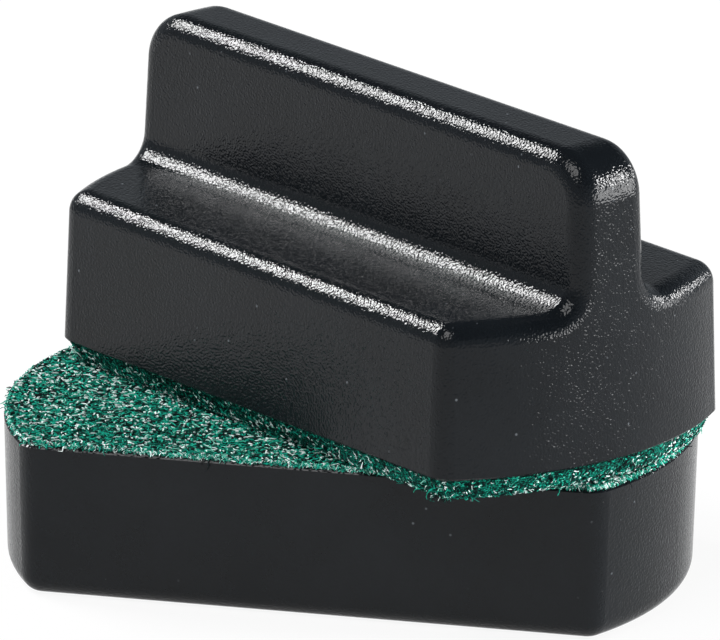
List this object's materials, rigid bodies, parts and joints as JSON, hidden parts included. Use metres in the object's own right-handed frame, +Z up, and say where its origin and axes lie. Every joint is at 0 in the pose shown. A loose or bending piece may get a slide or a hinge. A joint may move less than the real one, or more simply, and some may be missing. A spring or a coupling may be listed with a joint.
{
  "type": "two-part magnetic felt eraser",
  "caption": "Pair of black moulded halves with felt working faces, held to each other by magnets; the upper half has a full-length grip fin and turns on the lower one",
  "frame": {"origin": "centre of the plain half's outer face, which lies on the table", "axes": "+X along the plain half's length, +Y across it, +Z up through both felts"},
  "size_m": [0.0666, 0.059, 0.0464],
  "materials": {
    "shell_plastic": "satin, finely grained black ABS",
    "plate_plastic": "plain dark ABS",
    "magnet": "nickel-plated",
    "steel": "zinc-plated sheet",
    "tape": "clear acrylic adhesive",
    "felt": "teal non-woven felt with pale loose fibres"
  },
  "bodies": {
    "block_half": {"block_shell": "shell_plastic", "block_base_plate": "plate_plastic", "block_magnet_left": "magnet", "block_magnet_right": "magnet", "block_backing_plate": "steel", "block_tape_sheet": "tape", "block_felt_pad": "felt"},
    "grip_half": {"grip_shell": "shell_plastic", "grip_base_plate": "plate_plastic", "grip_magnet_left": "magnet", "grip_magnet_right": "magnet", "grip_backing_plate": "steel", "grip_tape_sheet": "tape", "grip_felt_pad": "felt"}
  },
  "joints": [
    {"name": "grip_twist", "type": "hinge", "parent": "block_half", "child": "grip_half", "pos_m": [0.00257, 0.00382, 0.0152], "axis": [0, 0, 1], "continuous": true}
  ]
}
